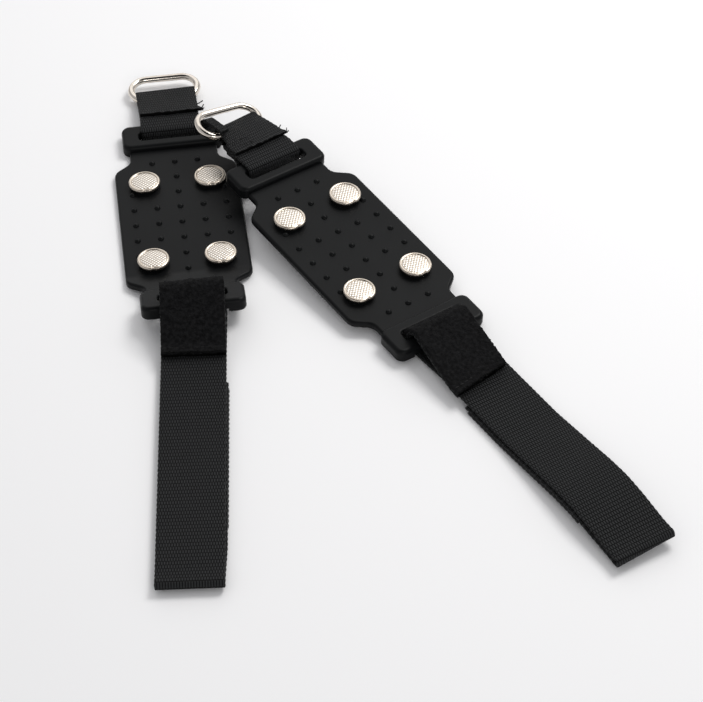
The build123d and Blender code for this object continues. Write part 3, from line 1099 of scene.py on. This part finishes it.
    def _hook(self) -> Object:
        """The hook tape on the underside of the folded-back end."""
        pose, mark = self.pose, self.marks
        offset = pose.hook_side * 0.9
        tape = Band(pose.name("hook_tape_band"), self.route, mark["hook_in"], mark["hook_out"],
                    self.palette.hook, left=lambda s: -WEB_HALF_W + offset,
                    right=lambda s: WEB_HALF_W + offset, thickness=1.0, lift=HOOK_MID_Z - RETURN_MID_Z,
                    scallop=0.3, fray=(0.3, 0.6)).build()
        return settle(tape, Slot.HOOK, pose.name("strap_tail"), pose.name("hook_patch"))

    def _seam(self) -> Object:
        """The row of stitches through the pile's sewn end."""
        pose = self.pose
        z = RUN_MID_Z + 1.5 * WEB_T + PILE_T + 0.02
        across = [-10.8 + 2.4 * i for i in range(10)]
        places = [(x + self.lap_shift, 2.0 - pose.seam_s + self.lap_skew * x, z) for x in across]
        seam = build_stitches(pose.name("seam_stitches"), pose.strap, places, self.palette.thread)
        return settle(seam, Slot.THREAD, pose.name("strap"), pose.name("seam_stitching"))


@dataclass
class Cleat:
    """One whole cleat."""

    pose: Pose
    palette: Palette
    tab: Tab
    strap: Strap
    ring_slid: float

    def build(self) -> None:
        """Builds every piece of the cleat."""
        RubberPlate(self.pose, self.palette).dress()
        places = [(x, y) for y in (24.0, -24.0) for x in (-13.3, 13.3)]
        for number, centre in enumerate(places, start=1):
            Stud(self.pose, self.palette, number, centre).build()
        WireRing(self.pose, self.palette, self.ring_slid).build()
        self.tab.build()
        self.strap.build()


# ---- studio


@dataclass
class Studio:
    """Floor, lights and camera."""

    camera_at: Triple = (-22.7, -917.2, 780.9)
    aim: Triple = (61.6, -43.3, -37.1)
    roll: float = -2.32
    lens: float = 153.6

    def build(self) -> None:
        """Sets up the whole studio."""
        self._camera()
        self._floor()
        self._flag()
        self._lights()

    def _camera(self) -> None:
        """Points a long lens down at the cleats."""
        camera = bpy.data.cameras.new("camera")
        camera.lens, camera.sensor_width = self.lens, 36.0
        camera.clip_start, camera.clip_end = 0.05, 20.0
        holder = bpy.data.objects.new("camera", camera)
        bpy.context.scene.collection.objects.link(holder)
        place, aim = Vector(self.camera_at) * MM, Vector(self.aim) * MM
        turn = (aim - place).to_track_quat("-Z", "Y").to_matrix().to_4x4()
        holder.matrix_world = Matrix.Translation(place) @ turn @ Matrix.Rotation(radians(self.roll), 4, "Z")
        bpy.context.scene.camera = holder

    def _sheet(self, name: str, half: float, place: Triple, finish: Finish) -> Object:
        """Makes a flat square sheet that reaches half its side each way from its middle."""
        bm = bmesh.new()
        bmesh.ops.create_grid(bm, x_segments=2, y_segments=2, size=half)
        bmesh.ops.translate(bm, verts=bm.verts, vec=place)
        return finish_piece(bm, name, [finish.make()])

    def _floor(self) -> None:
        """Lays a wide sheet of white paper under the cleats."""
        paper = StudioPaper("white_paper_sweep", "fbfbfc", 0.9)
        self._sheet("studio_floor", 3000.0, (0, 0, -0.02), paper)

    def _flag(self) -> None:
        """Hangs a dark card overhead that only reflections see, for the dark bands on bright wire."""
        cloth = StudioPaper("black_flag_cloth", "0a0a0a", 1.0)
        card = self._sheet("overhead_flag", 620.0, (0, -420, 1050), cloth)
        card.visible_camera = card.visible_diffuse = card.visible_shadow = False

    def _lights(self) -> None:
        """Hangs soft boxes to the right, behind and in front, with a pale surround."""
        world = bpy.data.worlds.new("studio")
        bpy.context.scene.world = world
        world.use_nodes = True
        back = world.node_tree.nodes["Background"]
        back.inputs["Color"].default_value = linear("fdfdff")
        back.inputs["Strength"].default_value = 0.46
        for name, place, size, power in SOFT_BOXES:
            light = bpy.data.lights.new(name, "AREA")
            light.size, light.energy = size * MM, power
            light.color = linear("fffefc")[:3]
            holder = bpy.data.objects.new(name, light)
            bpy.context.scene.collection.objects.link(holder)
            where = Vector(place) * MM
            aim = Vector((60, -60, 0)) * MM - where
            turn = aim.to_track_quat("-Z", "Y").to_matrix().to_4x4()
            holder.matrix_world = Matrix.Translation(where) @ turn
        bpy.context.scene.view_settings.view_transform = "Standard"


def main() -> None:
    """Builds the studio and both cleats in order."""
    logging.basicConfig(level=logging.INFO, format="%(name)s %(message)s")
    Studio().build()
    palette = make_palette()
    left = Pose(
        side="left", plate=Matrix.Identity(4), end_lift=12.0, tab_drop=10.0, tab_roll=0.0, ring_rise=14.0,
        arch=12.4, root_rise=4.0, seam_s=23.6, strap_origin=(0.0, -57.5), strap_yaw=-5.6, strap_s=140.5,
        hook_side=1.0,
    )
    right = Pose(
        side="right", plate=placed((64.4, -31.4, 5.4), (0.883, 0.468, -0.030), (0.063, -0.0555, 0.9964)),
        end_lift=0.0, tab_drop=10.0, tab_roll=9.0, ring_rise=18.0, arch=9.4, root_rise=1.2, seam_s=31.0,
        strap_origin=(91.7, -83.0), strap_yaw=25.2, strap_s=134.2, hook_side=-1.0,
    )
    Cleat(left, palette, Tab(left, palette), Strap(left, palette), ring_slid=-0.5).build()
    tab = Tab(right, palette, fold_left=-9.0, fold_right=11.5, fold_end=21.4, fold_turn=9.0, lip_turn=4.0,
              flare=1.2, loose=0.5, bulges=True)
    strap = Strap(right, palette, knee=28.0, hump=4.5, hump_twist=0.06, sway=-1.8, lap_shift=-1.6,
                  lap_skew=0.17)
    Cleat(right, palette, tab, strap, ring_slid=-1.8).build()


if __name__ == "__main__":
    main()
